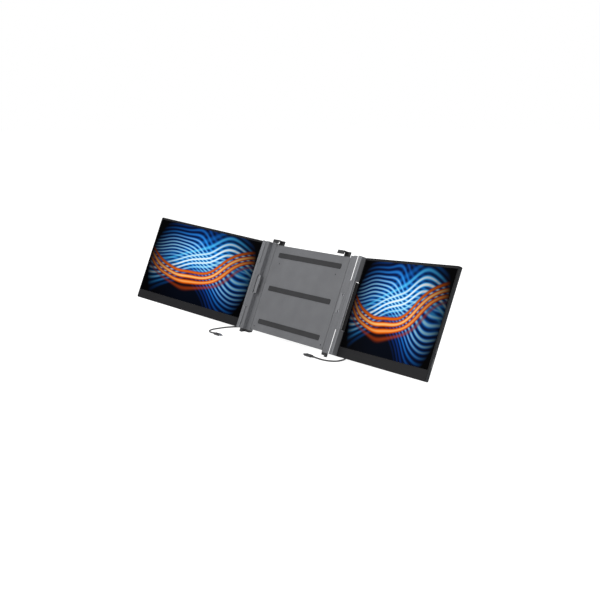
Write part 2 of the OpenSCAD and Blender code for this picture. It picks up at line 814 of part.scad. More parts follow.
// The cable's last point lies 3 mm inside the boot of the plug.
module laptop_plug(s) color("#262628") {
    route = s < 0 ? left_route : right_route;
    translate(route[len(route) - 1] + [3 * s, 0, 0])
        rotate([0, -90 * s, 0])
            rotate([0, 0, 90])
                plug_body();
}

// ---------------------------------------------------------------- pieces

back_shell();
front_plate();
lid_pads();
rail_guides();
leg_lugs();
leg_pin();
housing_screws();
leg_plate();
leg_foot();
rails(LEFT);  // left_rails
yoke(LEFT);  // left_yoke
column(LEFT);  // left_column
foot(LEFT);  // left_foot
hinge_shaft(LEFT);  // left_hinge_shaft
rail_screws(LEFT);  // left_rail_screws
side_clip(LEFT);  // left_side_clip
side_clip_pin(LEFT);  // left_side_clip_pin
side_clip_pad(LEFT);  // left_side_clip_pad
top_clip(LEFT);  // left_top_clip
top_clip_pad(LEFT);  // left_top_clip_pad
back_cover(LEFT);  // left_back_cover
front_frame(LEFT);  // left_front_frame
lcd_module(LEFT);  // left_lcd_module
cover_glass(LEFT);  // left_cover_glass
driver_board(LEFT);  // left_driver_board
speakers(LEFT);  // left_speakers
ports(LEFT);  // left_ports
knuckles(LEFT);  // left_knuckles
power_button(LEFT);  // left_power_button
menu_rocker(LEFT);  // left_menu_rocker
cover_screws(LEFT);  // left_cover_screws
cable(LEFT);  // left_cable
screen_plug(LEFT);  // left_screen_plug
laptop_plug(LEFT);  // left_laptop_plug
rails(RIGHT);  // right_rails
yoke(RIGHT);  // right_yoke
column(RIGHT);  // right_column
foot(RIGHT);  // right_foot
hinge_shaft(RIGHT);  // right_hinge_shaft
rail_screws(RIGHT);  // right_rail_screws
side_clip(RIGHT);  // right_side_clip
side_clip_pin(RIGHT);  // right_side_clip_pin
side_clip_pad(RIGHT);  // right_side_clip_pad
top_clip(RIGHT);  // right_top_clip
top_clip_pad(RIGHT);  // right_top_clip_pad
back_cover(RIGHT);  // right_back_cover
front_frame(RIGHT);  // right_front_frame
lcd_module(RIGHT);  // right_lcd_module
cover_glass(RIGHT);  // right_cover_glass
driver_board(RIGHT);  // right_driver_board
speakers(RIGHT);  // right_speakers
ports(RIGHT);  // right_ports
knuckles(RIGHT);  // right_knuckles
power_button(RIGHT);  // right_power_button
menu_rocker(RIGHT);  // right_menu_rocker
cover_screws(RIGHT);  // right_cover_screws
cable(RIGHT);  // right_cable
screen_plug(RIGHT);  // right_screen_plug
laptop_plug(RIGHT);  // right_laptop_plug
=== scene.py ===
import json
import math

import bmesh
import bpy
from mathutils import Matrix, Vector


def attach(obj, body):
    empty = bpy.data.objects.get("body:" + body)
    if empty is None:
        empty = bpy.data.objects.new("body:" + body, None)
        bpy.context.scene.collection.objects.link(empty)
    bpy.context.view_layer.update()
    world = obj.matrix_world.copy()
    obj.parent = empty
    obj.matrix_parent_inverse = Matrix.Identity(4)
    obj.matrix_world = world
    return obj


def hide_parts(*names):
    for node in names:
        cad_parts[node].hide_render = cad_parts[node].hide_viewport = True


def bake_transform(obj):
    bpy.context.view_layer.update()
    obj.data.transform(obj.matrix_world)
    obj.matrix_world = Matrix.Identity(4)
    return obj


# A laptop screen extender: two portable screens on hinged columns, at the two ends of a
# bracket that clips behind a laptop's lid. Lengths are in metres unless a name says mm.
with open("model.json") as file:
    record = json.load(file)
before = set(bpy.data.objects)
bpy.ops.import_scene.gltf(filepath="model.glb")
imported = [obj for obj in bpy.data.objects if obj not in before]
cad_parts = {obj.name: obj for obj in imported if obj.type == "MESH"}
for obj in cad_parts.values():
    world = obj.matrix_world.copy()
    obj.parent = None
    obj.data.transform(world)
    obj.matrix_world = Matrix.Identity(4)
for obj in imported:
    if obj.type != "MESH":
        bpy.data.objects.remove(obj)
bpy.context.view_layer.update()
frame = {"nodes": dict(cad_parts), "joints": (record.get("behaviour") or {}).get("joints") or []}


# ---------------------------------------------------------------- camera
# The photograph looks down on the screens a little, from well round to the right of
# them, through a moderate tele lens. Its frame is square.

turn, dip = math.radians(52.964), math.radians(10.278)
look = Vector((-math.sin(turn) * math.cos(dip), math.cos(turn) * math.cos(dip), -math.sin(dip)))
sensor_mm, focal_length_mm = 36, 58.27
camera = bpy.data.objects.new("camera", bpy.data.cameras.new("camera"))
camera.location = (1.7633, -1.2920, 0.4968)
camera.rotation_euler = look.to_track_quat("-Z", "Y").to_euler()
camera.data.sensor_width = sensor_mm
camera.data.sensor_height = sensor_mm
camera.data.lens = focal_length_mm
camera.data.clip_start = 0.02
bpy.context.scene.collection.objects.link(camera)
bpy.context.scene.camera = camera


# ---------------------------------------------------------------- cables
# Two short round USB-C cables of 3.6 mm in a smooth soft PVC jacket, moulded into
# their plugs. Each leaves the bay on a screen's rear, lies in one loose bend behind
# the bracket and comes forward to the laptop's side.

sides = {"left": -1, "right": 1}
cord_radius = 0.0018
# Each cable's middle line, from the screen's plug to the laptop's
routes_mm = {
    "left": [
        (-216.7, 6.5, 41.1), (-216.7, 5.4, 38.3), (-216.8, 3.8, 32.5), (-217.2, 4.8, 23.5),
        (-218, 10, 14), (-219.5, 20, 6.5), (-221, 33, 2.6), (-219, 50, 1.8),
        (-205, 74, 1.8), (-176, 90, 1.8), (-140, 94, 1.8), (-106, 86, 1.8), (-94, 67, 1.8),
        (-106, 50, 1.8), (-136, 44, 1.8), (-168, 35, 1.8), (-196, 22, 1.8), (-213, 5, 1.8),
        (-220, -10, 1.8), (-224, -27, 1.8), (-225, -46, 1.8), (-222, -64, 1.8),
        (-212, -77, 1.8), (-198, -83, 2.2), (-188, -83.6, 2.7), (-182, -83.6, 2.8)],
    "right": [
        (210, 8.6, 40.4), (210, 7.5, 37.6), (210.2, 5.8, 32), (210.8, 7.2, 23),
        (211.6, 13, 14), (213, 23, 6.5), (215, 36, 2.6), (215, 52, 1.8), (205, 75, 1.8),
        (178, 94, 1.8), (142, 100, 1.8), (108, 94, 1.8), (94, 75, 1.8), (108, 57, 1.8),
        (138, 49, 1.8), (170, 38, 1.8), (194, 22, 1.8), (206, 5, 1.8), (212, -10, 1.8),
        (211, -24, 1.8), (201, -34, 1.8), (186, -39.4, 1.8), (170, -41, 2.2),
        (160, -41.4, 2.7), (154, -41.4, 2.8)]}


def linear(code):
    """A colour written as sRGB hex, as the shaders need it."""
    parts = [int(code[i:i + 2], 16) / 255 for i in (1, 3, 5)]
    return tuple(p / 12.92 if p <= 0.04045 else ((p + 0.055) / 1.055) ** 2.4
                 for p in parts) + (1.0,)


def add(material, kind, values=None, links=None, **settings):
    """One shader node: its own settings, the values of its sockets, and what they link to."""
    made = material.node_tree.nodes.new(kind)
    for name, value in settings.items():
        setattr(made, name, value)
    for socket, value in (values or {}).items():
        made.inputs[socket].default_value = value
    for socket, source in (links or {}).items():
        material.node_tree.links.new(source, made.inputs[socket])
    return made


def link(material, source, node, socket):
    """Feeds a socket of a node that is there already."""
    material.node_tree.links.new(source, node.inputs[socket])


def start(name, colour, metallic, roughness, **values):
    """A named material with its surface shader, and that shader."""
    material = bpy.data.materials.new(name)
    material.use_nodes = True
    shader = material.node_tree.nodes["Principled BSDF"]
    shader.inputs["Base Color"].default_value = linear(colour)
    shader.inputs["Metallic"].default_value = metallic
    shader.inputs["Roughness"].default_value = roughness
    for socket, value in values.items():
        shader.inputs[socket.replace("_", " ")].default_value = value
    return material, shader


# Soft PVC: smooth, with a dull gloss that varies along it where hands have drawn it.
cable_pvc, shader = start("soft_pvc_black", "#28282A", 0, 0.42, IOR=1.52)
place = add(cable_pvc, "ShaderNodeTexCoord").outputs["Object"]
rub = add(cable_pvc, "ShaderNodeTexNoise", {"Scale": 90, "Detail": 3}, {"Vector": place})
gloss = add(cable_pvc, "ShaderNodeMapRange", {"To Min": 0.34, "To Max": 0.52},
            {"Value": rub.outputs["Fac"]})
link(cable_pvc, gloss.outputs["Result"], shader, "Roughness")
tint = add(cable_pvc, "ShaderNodeValToRGB", links={"Fac": rub.outputs["Fac"]})
tint.color_ramp.elements[0].color = linear("#222224")
tint.color_ramp.elements[1].color = linear("#2F2F31")
link(cable_pvc, tint.outputs["Color"], shader, "Base Color")


def smooth_route(points_mm, steps):
    """A Catmull-Rom curve through the points, in metres, that nowhere dips into the surface."""
    pts = [Vector(p) / 1000 for p in points_mm]
    out = []
    for i in range(len(pts) - 1):
        a, b = pts[max(i - 1, 0)], pts[i]
        c, d = pts[i + 1], pts[min(i + 2, len(pts) - 1)]
        for k in range(steps):
            t = k / steps
            out.append(0.5 * (2 * b + (c - a) * t + (2 * a - 5 * b + 4 * c - d) * t * t
                              + (3 * b - a - 3 * c + d) * t ** 3))
    for p in out:
        p.z = max(p.z, cord_radius)
    return out + [pts[-1]]


def skin(mesh, rings):
    """Joins rings of vertices with four-sided faces, and closes the first and last ring."""
    count = len(rings[0])
    for low, high in zip(rings, rings[1:]):
        for k in range(count):
            mesh.faces.new((low[k], low[(k + 1) % count], high[(k + 1) % count], high[k]))
    mesh.faces.new(reversed(rings[0]))
    mesh.faces.new(rings[-1])


def tube(name, points, radius, facets=16):
    """A round tube along the points, with a flat cap at each end."""
    mesh = bmesh.new()
    rings = []
    across = Vector((1, 0, 0))
    for i, p in enumerate(points):
        along = (points[min(i + 1, len(points) - 1)] - points[max(i - 1, 0)]).normalized()
        across = (across - along * across.dot(along)).normalized()
        other = along.cross(across)
        rings.append([mesh.verts.new(p + radius * (math.cos(a) * across + math.sin(a) * other))
                      for a in (2 * math.pi * k / facets for k in range(facets))])
    skin(mesh, rings)
    for face in mesh.faces:
        face.smooth = len(face.verts) == 4
    data = bpy.data.meshes.new(name)
    mesh.to_mesh(data)
    mesh.free()
    made = bpy.data.objects.new(name, data)
    bpy.context.scene.collection.objects.link(made)
    return made


# The height from which a cable turns up to the screen's plug, and a rise above it. Each
# cable is made as one tube along its route and kept by side.
turn_height, turn_rise = 0.005, 0.032
cords = {}
for side in sides:
    points = smooth_route(routes_mm[side], steps=5)
    cord = tube(side + "_cord", points, cord_radius)
    cord.data.materials.append(cable_pvc)
    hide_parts(side + "_cable")
    base = points[0].copy()
    base.z = turn_height
    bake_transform(cord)
    cords[side] = (cord, points)


# ---------------------------------------------------------------- plugs
# Each cable ends in a moulded USB-C plug: a black TPE grip round a drawn steel shell,
# with a ribbed strain relief that is moulded on the jacket.

# Every edge looks broken by this radius, as moulded and blasted edges are
broken_edge = 0.0005


def textured(name, colour, light_colour, roughness, grain_mm, depth, **values):
    """Moulded or painted: a grain of grain_mm, and a faint drift in colour over 40 mm."""
    material, shader = start(name, colour, 0, roughness, **({"IOR": 1.5} | values))
    place = add(material, "ShaderNodeTexCoord").outputs["Object"]
    grain = add(material, "ShaderNodeTexNoise", {"Scale": 1000 / grain_mm, "Detail": 2},
                {"Vector": place})
    drift = add(material, "ShaderNodeTexNoise", {"Scale": 26, "Detail": 4}, {"Vector": place})
    tint = add(material, "ShaderNodeValToRGB", links={"Fac": drift.outputs["Fac"]})
    tint.color_ramp.elements[0].position = 0.3
    tint.color_ramp.elements[0].color = linear(colour)
    tint.color_ramp.elements[1].position = 0.75
    tint.color_ramp.elements[1].color = linear(light_colour)
    link(material, tint.outputs["Color"], shader, "Base Color")
    edge = add(material, "ShaderNodeBevel", {"Radius": broken_edge}, samples=4)
    bump = add(material, "ShaderNodeBump", {"Strength": 0.5, "Distance": depth},
               {"Height": grain.outputs["Fac"], "Normal": edge.outputs["Normal"]})
    link(material, bump.outputs["Normal"], shader, "Normal")
    gloss = add(material, "ShaderNodeMapRange",
                {"To Min": roughness - 0.07, "To Max": roughness + 0.07},
                {"Value": drift.outputs["Fac"]})
    link(material, gloss.outputs["Result"], shader, "Roughness")
    return material


def metal(name, colour, light_colour, roughness, stretch, marks_per_m, depth, metallic=1):
    """Bare or anodised metal: fine marks, stretched by the factors in stretch."""
    material, shader = start(name, colour, metallic, roughness)
    place = add(material, "ShaderNodeTexCoord").outputs["Object"]
    laid = add(material, "ShaderNodeMapping", {"Scale": stretch}, {"Vector": place})
    marks = add(material, "ShaderNodeTexNoise",
                {"Scale": marks_per_m, "Detail": 4, "Roughness": 0.6},
                {"Vector": laid.outputs["Vector"]})
    tint = add(material, "ShaderNodeValToRGB", links={"Fac": marks.outputs["Fac"]})
    tint.color_ramp.elements[0].position = 0.3
    tint.color_ramp.elements[0].color = linear(colour)
    tint.color_ramp.elements[1].position = 0.72
    tint.color_ramp.elements[1].color = linear(light_colour)
    link(material, tint.outputs["Color"], shader, "Base Color")
    gloss = add(material, "ShaderNodeMapRange",
                {"To Min": roughness - 0.06, "To Max": roughness + 0.08},
                {"Value": marks.outputs["Fac"]})
    link(material, gloss.outputs["Result"], shader, "Roughness")
    edge = add(material, "ShaderNodeBevel", {"Radius": broken_edge}, samples=4)
    bump = add(material, "ShaderNodeBump", {"Strength": 0.4, "Distance": depth},
               {"Height": marks.outputs["Fac"], "Normal": edge.outputs["Normal"]})
    link(material, bump.outputs["Normal"], shader, "Normal")
    return material


# Drawn steel: bright, with fine lines along the drawing, drawn at 1 mm.
ground_steel = metal("ground_steel", "#A9ABAF", "#BCBEC2", 0.28, (1, 1, 0.15), 900, 0.00001)
# TPE: near black and matt, with a soft grain that is drawn at 1.2 mm.
plug_tpe = textured("plug_tpe_moulded", "#232325", "#2C2C2E", 0.5, 1.2, 0.00003)


def oval(width, thick, count=32):
    """The outline of a bar with round ends."""
    r, flat = thick / 2, (width - thick) / 2
    return [(math.copysign(flat, math.cos(a)) * (abs(math.cos(a)) > 1e-9) + r * math.cos(a),
             r * math.sin(a)) for a in (2 * math.pi * (k + 0.5) / count for k in range(count))]


def loft(mesh, origin, axis, wide, sections):
    """Skins sections of (distance along axis, width, thickness) into one closed body."""
    thin = axis.cross(wide)
    skin(mesh, [[mesh.verts.new(origin + axis * at + wide * x + thin * y) for x, y in oval(w, t)]
                for at, w, t in sections])


def finish_mesh(name, mesh, materials, smooth=40):
    """Turns the made mesh into an object with soft shading below the given angle."""
    bmesh.ops.recalc_face_normals(mesh, faces=mesh.faces)
    data = bpy.data.meshes.new(name)
    mesh.to_mesh(data)
    mesh.free()
    made = bpy.data.objects.new(name, data)
    bpy.context.scene.collection.objects.link(made)
    for material in materials:
        data.materials.append(material)
    data.shade_smooth()
    data.set_sharp_from_angle(angle=math.radians(smooth))
    return made


def plug(name, origin, axis, wide):
    """A plug whose boot starts at origin and whose tip points along axis."""
    mesh = bmesh.new()
    # The boot's ridges widen towards the grip
    ridges, pitch, first_girth, widening, groove = 6, 0.0014, 0.0040, 0.00022, 0.0005
    boot = []
    for i in range(ridges):
        at = 0.0004 + i * pitch
        girth = first_girth + i * widening
        boot += [(at, girth - groove, girth - groove), (at + 0.0002, girth, girth),
                 (at + 0.0008, girth, girth), (at + 0.001, girth - groove, girth - groove)]
    grip = [(0.0090, 0.0052, 0.0048), (0.0092, 0.0088, 0.0048), (0.0096, 0.0099, 0.0051),
            (0.0103, 0.0105, 0.0052), (0.0160, 0.0106, 0.0052), (0.0240, 0.0106, 0.0052),
            (0.0300, 0.0106, 0.0052), (0.0306, 0.0104, 0.0050), (0.0310, 0.0098, 0.0045)]
    loft(mesh, origin, axis, wide, boot + grip)
    moulded = len(mesh.faces)
    # The shell runs to its rim and a little way back inside
    loft(mesh, origin, axis, wide,
         [(0.0310, 0.0082, 0.0025), (0.0370, 0.0082, 0.0025), (0.0373, 0.0080, 0.0023),
          (0.0374, 0.0077, 0.0020), (0.0372, 0.0076, 0.0019), (0.0340, 0.0075, 0.0018)])
    mesh.faces.ensure_lookup_table()
    for face in list(mesh.faces)[moulded:]:
        face.material_index = 1
    return finish_mesh(name, mesh, [plug_tpe, ground_steel])


joint = {j["name"]: j for j in frame["joints"]}
tilt = math.radians(21.8)
up = Vector((0, math.sin(tilt), math.cos(tilt)))
screen_h = 0.222
# From a screen's hinge axis back to its front: the right screen folds over the left one
axis_back = {"left": 0.0042, "right": 0.0092}


def outward(side):
    """From a screen's hinge towards its outer edge, where its power button presses inward."""
    return -Vector(joint[side + "_power_press"]["axis"])


def backward(side):
    """From a screen's front towards its rear, the axis that its menu rocker tilts about."""
    return Vector(joint[side + "_rocker_tilt"]["axis"])


def on_screen(side, across, back, height):
    """A point of a screen: across from its hinge axis, back from its front, up from its foot."""
    return (Vector(joint[side + "_screen_hinge"]["pos_m"]) + outward(side) * across
            + backward(side) * (axis_back[side] + back) + up * (height - screen_h / 2))


# Where the boot starts below a screen's USB-C port, and how much of the cable's end the
# laptop's boot covers
port_across, port_back, port_height = 0.027, 0.0067, 0.0346
boot_cover = 0.003
for side, sign in sides.items():
    upper = plug(side + "_screen_end", on_screen(side, port_across, port_back, port_height), up,
                 outward(side))
    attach(upper, side + "_screen")
    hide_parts(side + "_screen_plug")
    end = Vector(routes_mm[side][-1]) / 1000 + Vector((boot_cover * sign, 0, 0))
    lower = plug(side + "_laptop_end", end, Vector((-sign, 0, 0)), Vector((0, 1, 0)))
    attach(lower, side + "_arm")
    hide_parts(side + "_laptop_plug")
    cord, points = cords[side]


# ---------------------------------------------------------------- floor and lights
# A plain pale floor that runs to the horizon, a large soft light from the left, a weaker
# one from the right, one above and one behind. None of this is part of the object.

floor_half = 60
floor_mesh = bpy.data.meshes.new("floor")
floor_mesh.from_pydata([(x * floor_half, y * floor_half, 0)
                        for x, y in ((-1, -1), (1, -1), (1, 1), (-1, 1))], [], [(0, 1, 2, 3)])
floor = bpy.data.objects.new("floor", floor_mesh)
bpy.context.scene.collection.objects.link(floor)

# Matt white paint. The camera and reflections see it lit, with the shadow on it kept.
floor_paint, shader = start("floor_paint", "#F4F4F4", 0, 0.85)
floor.data.materials.append(floor_paint)
ray = add(floor_paint, "ShaderNodeLightPath")
lit = add(floor_paint, "ShaderNodeEmission", {"Color": (1, 1, 1, 1), "Strength": 1.42})
shadow_kept = add(floor_paint, "ShaderNodeMixShader", {"Fac": 0.6},
                  {1: shader.outputs["BSDF"], 2: lit.outputs["Emission"]})
seen = add(floor_paint, "ShaderNodeMath", None,
           {0: ray.outputs["Is Camera Ray"], 1: ray.outputs["Is Glossy Ray"]},
           operation="MAXIMUM")
surface = add(floor_paint, "ShaderNodeMixShader", None,
              {"Fac": seen.outputs["Value"], 1: shader.outputs["BSDF"],
               2: shadow_kept.outputs["Shader"]})
link(floor_paint, surface.outputs["Shader"], floor_paint.node_tree.nodes["Material Output"],
     "Surface")

world = bpy.data.worlds.new("studio")
bpy.context.scene.world = world
world.use_nodes = True
sky = world.node_tree.nodes["Background"]
sky.inputs["Color"].default_value = (1, 1, 1, 1)
sky.inputs["Strength"].default_value = 0.5
ray = add(world, "ShaderNodeLightPath")
white = add(world, "ShaderNodeBackground", {"Color": (1, 1, 1, 1), "Strength": 1.0})
choose = add(world, "ShaderNodeMixShader", None,
             {"Fac": ray.outputs["Is Camera Ray"], 1: sky.outputs["Background"],
              2: white.outputs["Background"]})
link(world, choose.outputs["Shader"], world.node_tree.nodes["World Output"], "Surface")

aim = Vector((0, 0, 0.12))
for name, spot, size, power in (("key_light", (-1.2, -2.0, 2.2), 1.6, 40),
                                ("fill_light", (2.7, -0.9, 1.3), 1.6, 34),
                                ("top_light", (0.0, 0.5, 2.6), 2.0, 30),
                                ("rear_light", (-0.6, 2.6, 1.4), 1.8, 24)):
    lamp = bpy.data.objects.new(name, bpy.data.lights.new(name, "AREA"))
    lamp.data.shape = "DISK"
    lamp.data.size = size
    lamp.data.energy = power
    lamp.location = spot
    lamp.rotation_euler = (aim - Vector(spot)).to_track_quat("-Z", "Y").to_euler()
    bpy.context.scene.collection.objects.link(lamp)
bpy.context.scene.view_settings.view_transform = "Standard"


# ---------------------------------------------------------------- bracket housing
# The centre housing is a shell of glass-filled ABS, moulded with a fine spark-eroded
# texture. It carries the rails' guides and the stand, and is screwed to a front plate.

def dress(nodes, material):
    """Gives CAD nodes their material."""
    for name in nodes:
        mesh = frame["nodes"][name].data
        mesh.materials.clear()
        mesh.materials.append(material)


# Spark-eroded ABS: a dull grey. The grain is about 0.4 mm, drawn at 0.9 mm so that it shows.
housing_abs = textured("housing_abs_spark_eroded", "#46474A", "#4F5053", 0.55, 0.9, 0.00006)
# Acetal: off-white, smooth and a little waxy.
guide_pom = textured("guide_acetal_moulded", "#DEDBD0", "#E8E5DB", 0.4, 2.0, 0.00002)
dress(["back_shell"], housing_abs)
dress(["rail_guides"], guide_pom)


# ---------------------------------------------------------------- front plate and pads
# A 1.4 mm steel sheet, powder-coated dark grey, is screwed over the housing. Three
# strips of soft silicone rubber are glued to it and lie against the laptop's lid.

def pair(*parts):
    """The names of the left and the right node of each part."""
    return [side + "_" + part for side in sides for part in parts]


# Powder coat: a shallow orange peel of 1.4 mm, which breaks up its low gloss.
powder_coat = textured("powder_coated_steel_grey", "#58595C", "#606164", 0.5, 1.4, 0.00008)
# Silicone rubber: near black and dull, with no clear highlight.
silicone = textured("silicone_rubber_black", "#1F1F21", "#29292B", 0.7, 0.8, 0.00004, IOR=1.42)
dress(["front_plate", "leg_plate"], powder_coat)
dress(pair("foot", "side_clip_pad", "top_clip_pad"), silicone)

# The lid pads are moulded with ribs 2 mm apart, so that they grip. They are drawn at 4 mm
# so that they show. A wave texture of scale 1 has 20 radians to a metre.
rib_pitch = 0.004
ribbed = silicone.copy()
ribbed.name = "silicone_rubber_ribbed"
place = add(ribbed, "ShaderNodeTexCoord").outputs["Object"]
ribs = add(ribbed, "ShaderNodeTexWave", {"Scale": 2 * math.pi / (20 * rib_pitch)},
           {"Vector": place}, bands_direction="X")
grain_bump = ribbed.node_tree.nodes["Bump"]
rib_bump = add(ribbed, "ShaderNodeBump", {"Strength": 0.6, "Distance": 0.0004},
               {"Height": ribs.outputs["Fac"], "Normal": grain_bump.outputs["Normal"]})
link(ribbed, rib_bump.outputs["Normal"], ribbed.node_tree.nodes["Principled BSDF"], "Normal")
dress(["lid_pads"], ribbed)


# ---------------------------------------------------------------- steel parts
# The shafts and pins are ground steel rods. The screws are steel with a black oxide,
# which leaves a dark, slightly oily satin. The plate's and the covers' have a cross
# recess, and the rails' a star.

black_oxide = metal("black_oxide_steel", "#2B2B2D", "#3A3A3D", 0.42, (1, 1, 1), 600, 0.00002)
dress(["leg_pin"] + pair("hinge_shaft", "side_clip_pin", "ports"), ground_steel)


def screw(mesh, top, axis, across, radius, length, lobes, spread, facets=32):
    """A screw with a bevelled head and a driver's recess of so many lobes in its top."""
    other = axis.cross(across)
    rings = []
    # Each ring's depth, its share of the head's radius, and whether it is lobed
    for depth, share, lobed in ((length, 0.72, 0), (0.0011, 0.78, 0), (0.0008, 1.0, 0),
                                (0.00012, 1.0, 0), (0.0, 0.93, 0), (0.0, 0.48, 1),
                                (0.0005, 0.42, 1), (0.0007, 0.15, 1)):
        ring = []
        for k in range(facets):
            a = 2 * math.pi * k / facets
            r = radius * share * (1 + lobed * spread * math.cos(lobes * a))
            ring.append(mesh.verts.new(top + axis * depth
                                       + r * (math.cos(a) * across + math.sin(a) * other)))
        rings.append(ring)
    skin(mesh, rings)


def finish_screws(name, mesh, body, node):
    """Turns a group of like screws into one piece that stands for a CAD node."""
    made = finish_mesh(name, mesh, [black_oxide], 30)
    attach(made, body)
    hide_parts(node)


plate_screw = {"radius": 0.00158, "length": 0.0073, "lobes": 4, "spread": 0.45}
cover_screw = {"radius": 0.002, "length": 0.0045, "lobes": 4, "spread": 0.45}
rail_screw = {"radius": 0.0015, "length": 0.0045, "lobes": 6, "spread": 0.12}
rear = Vector((0, math.cos(tilt), -math.sin(tilt)))
stand_pin = Vector(joint["stand_hinge"]["pos_m"])
pin_back, pin_height = 0.018, 0.150


def on_bracket(across, back, height):
    """A point of the bracket: from its middle, back from its front, up from its lower edge."""
    return (stand_pin + Vector((across, 0, 0)) + rear * (back - pin_back)
            + up * (height - pin_height))


# How far behind the bracket's or the screen's front each kind of screw has its head
plate_head, cover_head, rail_head = 0.0006, 0.0088, 0.0086
# The plate's screws, from the middle and from the lower edge, on either side
plate_places = ((0.129, 0.014), (0.115, 0.111), (0.1065, 0.174))
cover_across, cover_heights = (0.0875, 0.3465), (0.012, 0.116, 0.210)
rail_across, rail_heights = 0.148, (0.072, 0.150)

mesh = bmesh.new()
for sign in sides.values():
    for across, height in plate_places:
        screw(mesh, on_bracket(sign * across, plate_head, height), rear, up, **plate_screw)
finish_screws("plate_screws", mesh, "bracket", "housing_screws")
for side, sign in sides.items():
    mesh = bmesh.new()
    for across in cover_across:
        for height in cover_heights:
            screw(mesh, on_screen(side, across, cover_head, height), -backward(side), up,
                  **cover_screw)
    finish_screws(side + "_cover_screw_set", mesh, side + "_screen", side + "_cover_screws")
    mesh = bmesh.new()
    for height in rail_heights:
        screw(mesh, on_bracket(sign * rail_across, rail_head, height), -rear, up, **rail_screw)
    finish_screws(side + "_rail_screw_set", mesh, side + "_arm", side + "_rail_screws")


# ---------------------------------------------------------------- foot of the stand
# A sleeve of silicone rubber is pushed over the leg's lower edge. It is moulded with
# grooves 3 mm apart, which keep it from sliding.

leg_reach = 0.13883
plate_half = 0.00152
sleeve_half, sleeve_r = 0.036, 0.0035
groove_pitch, groove_r = 0.003, 0.0031
# The leg's angle from upright: all that it can fold back by, less the bracket's tilt
lean = -math.radians(joint["stand_hinge"]["range_deg"][0]) - tilt
leg_down = Vector((0, math.sin(lean), -math.cos(lean)))
leg_back = Vector((0, math.cos(lean), math.sin(lean)))
sole = stand_pin + leg_down * leg_reach

# Sections along the sleeve: the place across, and the radius there
sections = [(-sleeve_half, 0.0027), (-sleeve_half + 0.0003, 0.0032),
            (-sleeve_half + 0.001, sleeve_r)]
for i in range(-11, 12):
    at = groove_pitch * i
    sections += [(at - 0.0004, sleeve_r), (at - 0.0003, groove_r), (at + 0.0003, groove_r),
                 (at + 0.0004, sleeve_r)]
sections += [(sleeve_half - 0.001, sleeve_r), (sleeve_half - 0.0003, 0.0032),
             (sleeve_half, 0.0027)]
mesh = bmesh.new()
rings = []
for x, r in sections:
    arc = [0.001 + (math.pi - 0.002) * k / 24 for k in range(25)]
    outline = [(r * math.cos(a), -r * math.sin(a)) for a in arc]
    # Above the round edge it closes in on the plate, and leaves the slot that holds it
    outline += [(-r * 0.92, r * 0.3), (-0.0022, r * 0.8), (-plate_half, r * 0.8),
                (-plate_half, 0), (plate_half, 0), (plate_half, r * 0.8), (0.0022, r * 0.8),
                (r * 0.92, r * 0.3)]
    rings.append([mesh.verts.new(sole + Vector((x, 0, 0)) + leg_back * p - leg_down * q)
                  for p, q in outline])
skin(mesh, rings)
sleeve = finish_mesh("leg_sleeve", mesh, [silicone])
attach(sleeve, "stand")
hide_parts("leg_foot")


# ---------------------------------------------------------------- columns, knuckles, arms
# The columns and knuckles are extruded aluminium, blasted to a fine matt and anodised
# dark grey; the rails are clear anodised, and keep faint lines from the extruding.

# Grey anodising: an even matt with wide soft highlights. The blast is about 0.2 mm, drawn
# at 0.8 mm. The side clips get a copy painted a shade lighter, a painted highlight as if they
# caught more light.
anodised_grey = metal("anodised_aluminium_grey", "#67686B", "#747578", 0.42, (1, 1, 1), 1200,
                      0.00003, 0.55)
# A painted-lighter copy of the grey: the side clips' lighter tone stands in for light they catch
anodised_grey_painted_lit = metal("anodised_grey_painted_highlight", "#737477", "#808184", 0.4, (1, 1, 1), 1200,
                       0.00003, 0.55)
# Clear anodising: silvery, with faint lines along the rails.
anodised_clear = metal("anodised_aluminium_clear", "#B4B6BA", "#C3C5C9", 0.35, (0.05, 1, 1),
                       700, 0.00002)
dress(pair("column", "knuckles"), anodised_grey)
dress(pair("side_clip"), anodised_grey_painted_lit)
dress(pair("rails", "yoke"), anodised_clear)


# ---------------------------------------------------------------- painted shade behind the barrels
# A black strip is stuck on each column behind its barrel, from the barrel to the
# rib. It is painted shade: it stands in for the shadow between the column and the screen's edge.

def on_column(side, across, back, height):
    """A point of a column: outward and back from the hinge axis, up from its lower edge."""
    return (Vector(joint[side + "_screen_hinge"]["pos_m"]) - up * (screen_h / 2)
            + Vector((sides[side] * across, 0, 0)) + rear * back + up * height)


# Painted shade: deep black and dull, with a grain of about 0.6 mm.
shade_sheet = textured("black_sheet_painted_shade", "#08080A", "#0D0D0E", 0.9, 0.6, 0.0001,
                Specular_IOR_Level=0.15)
barrel_ends = (0.0570, 0.1650)
for side in sides:
    rib = 0.014 + axis_back[side]
    section = [(-0.0011, 0.0056), (-0.0064, rib - 0.0012), (-0.0075, rib),
               (-0.0073, rib + 0.0004), (-0.0060, rib - 0.0009), (-0.0006, 0.0057)]
    mesh = bmesh.new()
    skin(mesh, [[mesh.verts.new(on_column(side, across, back, height))
                 for across, back in section] for height in barrel_ends])
    # Each strip is a black sheet put where there is only shade
    shade_strip = finish_mesh(side + "_painted_shade_strip", mesh, [shade_sheet])
    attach(shade_strip, side + "_arm")


# ---------------------------------------------------------------- top clips
# Each hook is folded from steel strip and painted satin black. Its stem slides in the
# housing, and a rubber pad in its fold lies on the laptop's lid. The stand's lugs are
# painted like it.

# Satin paint: near black and smooth, with one soft highlight along each fold.
satin_black = textured("satin_black_paint", "#111113", "#18181A", 0.42, 3.0, 0.00002)
dress(pair("top_clip") + ["leg_lugs"], satin_black)


# ---------------------------------------------------------------- screen housings
# The rear covers are pressed aluminium, blasted and anodised black. The rim round the
# glass and the strip below the picture are one thin moulding of black ABS. The buttons
# sit in the outer edge, and the panel's tray, the board and the speakers inside.

# Black anodising: the same matt as on the columns, and a shade lighter than the glass.
anodised_black = metal("anodised_aluminium_black", "#303133", "#37383A", 0.42, (1, 1, 1), 1200,
                       0.00003)
